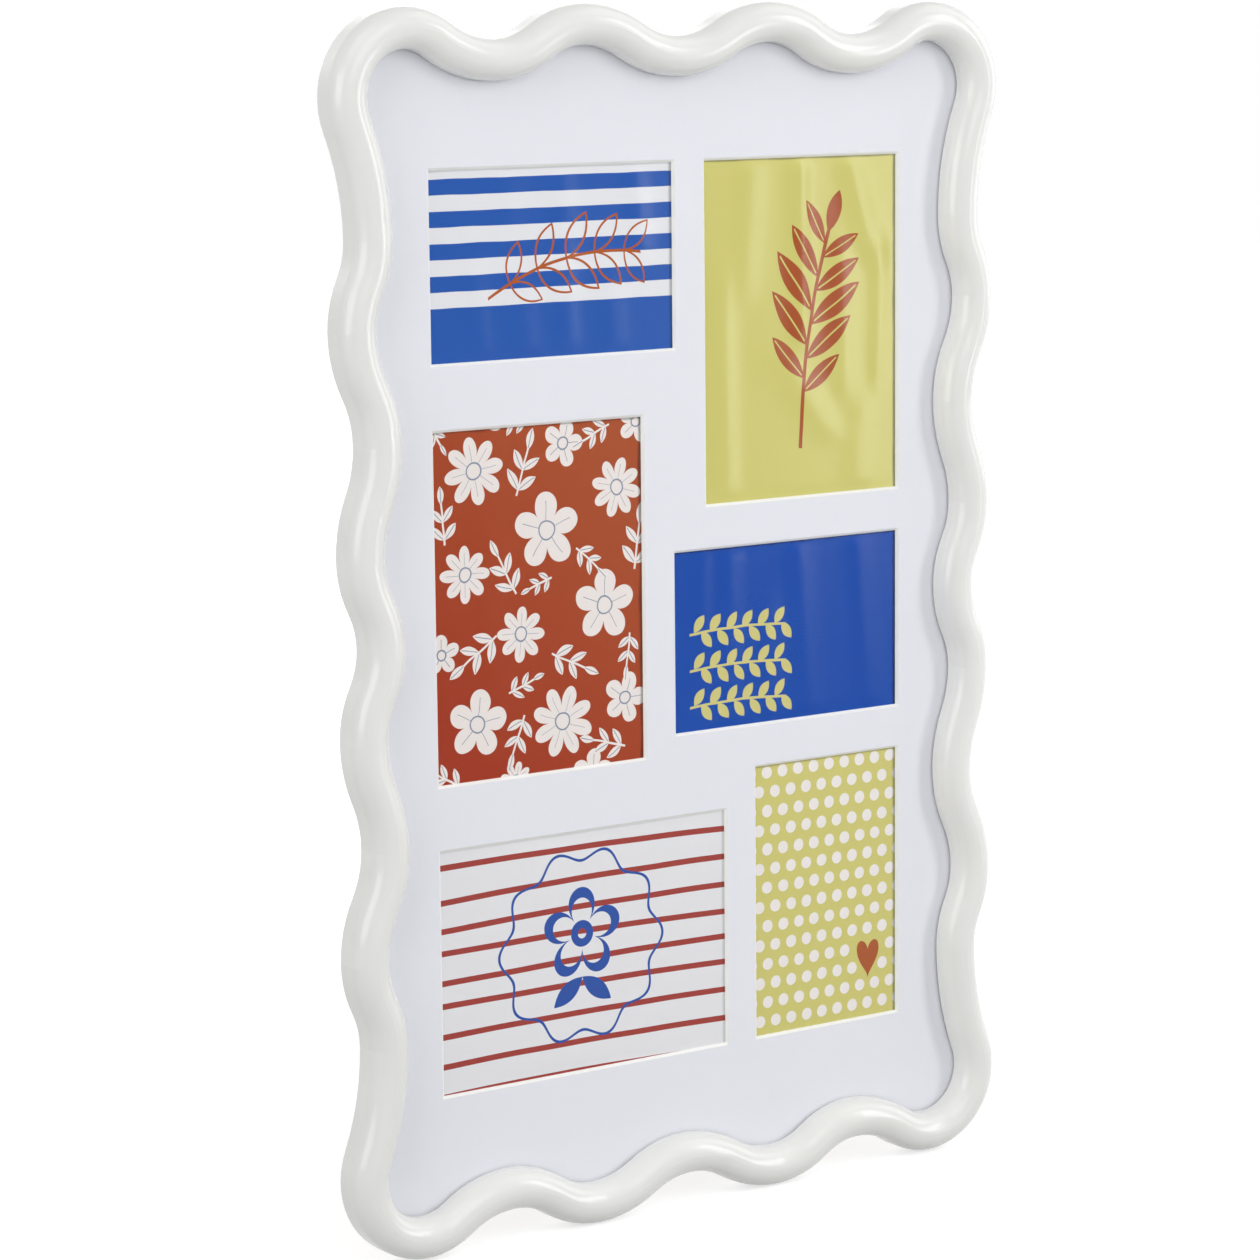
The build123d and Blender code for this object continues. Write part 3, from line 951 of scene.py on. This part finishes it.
def makeHardboard(look):
    material, tree = newMaterial("hardboard")
    place = addNode(tree, "TexCoord").outputs["Object"]
    cloud = addNode(tree, "TexNoise", {"Vector": place, "Scale": 1 / (look["cloudSize"] * mm), "Detail": 4.0})
    colour = addNode(tree, "Mix", {"Factor": cloud, 6: toLinear(look["light"]), 7: toLinear(look["dark"])},
                     data_type="RGBA").outputs[2]
    fibres = []
    for turn in look["fibreTurns"]:
        lie = addNode(tree, "Mapping", {
            "Vector": place, "Rotation": (0, math.radians(turn), 0),
            "Scale": (look["fibreLength"] * mm, 1, look["fibreWidth"] * mm)}, vector_type="TEXTURE")
        strand = addNode(tree, "TexNoise", {"Vector": lie, "Scale": 1.0, "Detail": 1.0,
                                            "Distortion": look["fibreBend"]})
        shows = addNode(tree, "MapRange", {"Value": strand, "From Min": look["fibreShows"][0],
                                           "From Max": look["fibreShows"][1]})
        colour = addNode(tree, "Mix", {"Factor": shows, 6: colour, 7: toLinear(look["fibre"])},
                         data_type="RGBA").outputs[2]
        fibres.append(shows)
    speck = addNode(tree, "TexNoise", {"Vector": place, "Scale": 1 / (look["fleckSize"] * mm), "Detail": 2.0})
    dark = addNode(tree, "MapRange", {"Value": speck, "From Min": look["fleckShows"][0],
                                      "From Max": look["fleckShows"][1]})
    colour = addNode(tree, "Mix", {"Factor": dark, 6: colour, 7: toLinear(look["fleck"])},
                     data_type="RGBA").outputs[2]
    relief = addNode(tree, "Math", {0: fibres[0], 1: dark}, operation="SUBTRACT")
    bump = addNode(tree, "Bump", {"Height": relief, "Strength": look["reliefStrength"],
                                  "Distance": look["relief"] * mm})
    surface = addNode(tree, "BsdfPrincipled", {
        "Base Color": colour, "Roughness": look["roughness"], "IOR": look["ior"], "Normal": bump})
    addNode(tree, "OutputMaterial", {"Surface": surface})
    return material


dress("back_board", makeHardboard(hardboard))

# Steel hardware: pressed from strip, turned or bent from wire, then zinc-plated, which leaves a soft
# mottled shine with a faint blue cast
plating = {"softFrom": 0.3, "softTo": 0.7, "relief": 0.02, "reliefStrength": 0.5}
pressedNodes = [name for name in nodes if name.startswith(("turn_button_", "hanger_strap"))]
pressedNodes.remove("turn_button_screws")
zincLooks = {
    "pressedZinc": {"bright": "bebfbe", "dull": "989b9f", "mottle": 2.5, "roughness": (0.3, 0.48),
                    "nodes": pressedNodes},
    "turnedZinc": {"bright": "c8c9c8", "dull": "a6a9ac", "mottle": 0.8, "roughness": (0.2, 0.34),
                   "nodes": ["turn_button_screws", "hanger_screws"]},
    "wireZinc": {"bright": "cacbca", "dull": "a9acb0", "mottle": 1.2, "roughness": (0.16, 0.28),
                 "nodes": ["hanger_ring_left", "hanger_ring_right"]},
}


def makeZinc(name, look):
    material, tree = newMaterial(name)
    place = addNode(tree, "TexCoord").outputs["Object"]
    grain = addNode(tree, "TexVoronoi", {"Vector": place, "Scale": 1 / (look["mottle"] * mm)})
    soft = addNode(tree, "TexNoise", {"Vector": place, "Scale": 2 / (look["mottle"] * mm), "Detail": 3.0})
    patch = addNode(tree, "SeparateXYZ", {0: grain.outputs["Color"]})
    mottle = addNode(tree, "Math", {0: patch.outputs["X"], 1: soft}, operation="MULTIPLY")
    tint = addNode(tree, "Mix", {"Factor": mottle, 6: toLinear(look["bright"]), 7: toLinear(look["dull"])},
                   data_type="RGBA")
    rough = addNode(tree, "MapRange", {"Value": soft, "From Min": plating["softFrom"],
                                       "From Max": plating["softTo"], "To Min": look["roughness"][0],
                                       "To Max": look["roughness"][1]})
    bump = addNode(tree, "Bump", {"Height": soft, "Strength": plating["reliefStrength"],
                                  "Distance": plating["relief"] * mm})
    surface = addNode(tree, "BsdfPrincipled", {
        "Base Color": tint.outputs[2], "Metallic": 1.0, "Roughness": rough, "Normal": bump})
    addNode(tree, "OutputMaterial", {"Surface": surface})
    return material


for name, look in zincLooks.items():
    steel = makeZinc(name, look)
    for nodeName in look["nodes"]:
        dress(nodeName, steel)

# Tape: crepe paper, crinkled in the making, so cream and matt with fine ridges across it
tapeLook = {
    "cream": "e9e2cd",
    # painted shade: the colour of the hollows between ridges
    "shade": "d8cfb4",
    "ridge": 0.6,
    "ridgeStretch": 0.15,  # a ridge's width over its length
    "relief": 0.05,
    "reliefStrength": 0.6,
    "roughness": 0.7,
}


def makeTape(look):
    material, tree = newMaterial("crepePaperTape")
    place = addNode(tree, "TexCoord").outputs["Object"]
    perMetre = 1 / (look["ridge"] * mm)
    lie = addNode(tree, "Mapping", {"Vector": place, "Scale": (perMetre, 1, look["ridgeStretch"] * perMetre)})
    ridge = addNode(tree, "TexNoise", {"Vector": lie, "Scale": 1.0, "Detail": 3.0})
    # painted shade: the tape is darker in the hollows of its ridges, following the bump
    tint = addNode(tree, "Mix", {"Factor": ridge, 6: toLinear(look["shade"]), 7: toLinear(look["cream"])},
                   data_type="RGBA")
    bump = addNode(tree, "Bump", {"Height": ridge, "Strength": look["reliefStrength"],
                                  "Distance": look["relief"] * mm})
    surface = addNode(tree, "BsdfPrincipled", {
        "Base Color": tint.outputs[2], "Roughness": look["roughness"], "Normal": bump})
    addNode(tree, "OutputMaterial", {"Surface": surface})
    return material


dress("photo_tapes", makeTape(tapeLook))

# Bumpers: cast soft polyurethane, greyish and slightly cloudy, with a soft shine
bumperLook = {
    "grey": "c3c6c6",
    "shade": "acb0b1",
    "cloud": 2.0,
    "roughness": (0.3, 0.45),
    "ior": 1.48,
    "milkiness": 0.25,
    "lightReach": 1.5,
}


def makeBumper(look):
    material, tree = newMaterial("softPolyurethane")
    place = addNode(tree, "TexCoord").outputs["Object"]
    cloud = addNode(tree, "TexNoise", {"Vector": place, "Scale": 1 / (look["cloud"] * mm), "Detail": 2.0})
    tint = addNode(tree, "Mix", {"Factor": cloud, 6: toLinear(look["grey"]), 7: toLinear(look["shade"])},
                   data_type="RGBA")
    rough = addNode(tree, "MapRange", {"Value": cloud, "To Min": look["roughness"][0],
                                       "To Max": look["roughness"][1]})
    surface = addNode(tree, "BsdfPrincipled", {
        "Base Color": tint.outputs[2], "Roughness": rough, "IOR": look["ior"],
        "Subsurface Weight": look["milkiness"], "Subsurface Radius": (1.0, 1.0, 1.0),
        "Subsurface Scale": look["lightReach"] * mm})
    addNode(tree, "OutputMaterial", {"Surface": surface})
    return material


softBumper = makeBumper(bumperLook)
for name in ("bumper_left", "bumper_right"):
    dress(name, softBumper)
print("back and hardware dressed")

view = bpy.context.scene.view_settings
view.view_transform = "Standard"
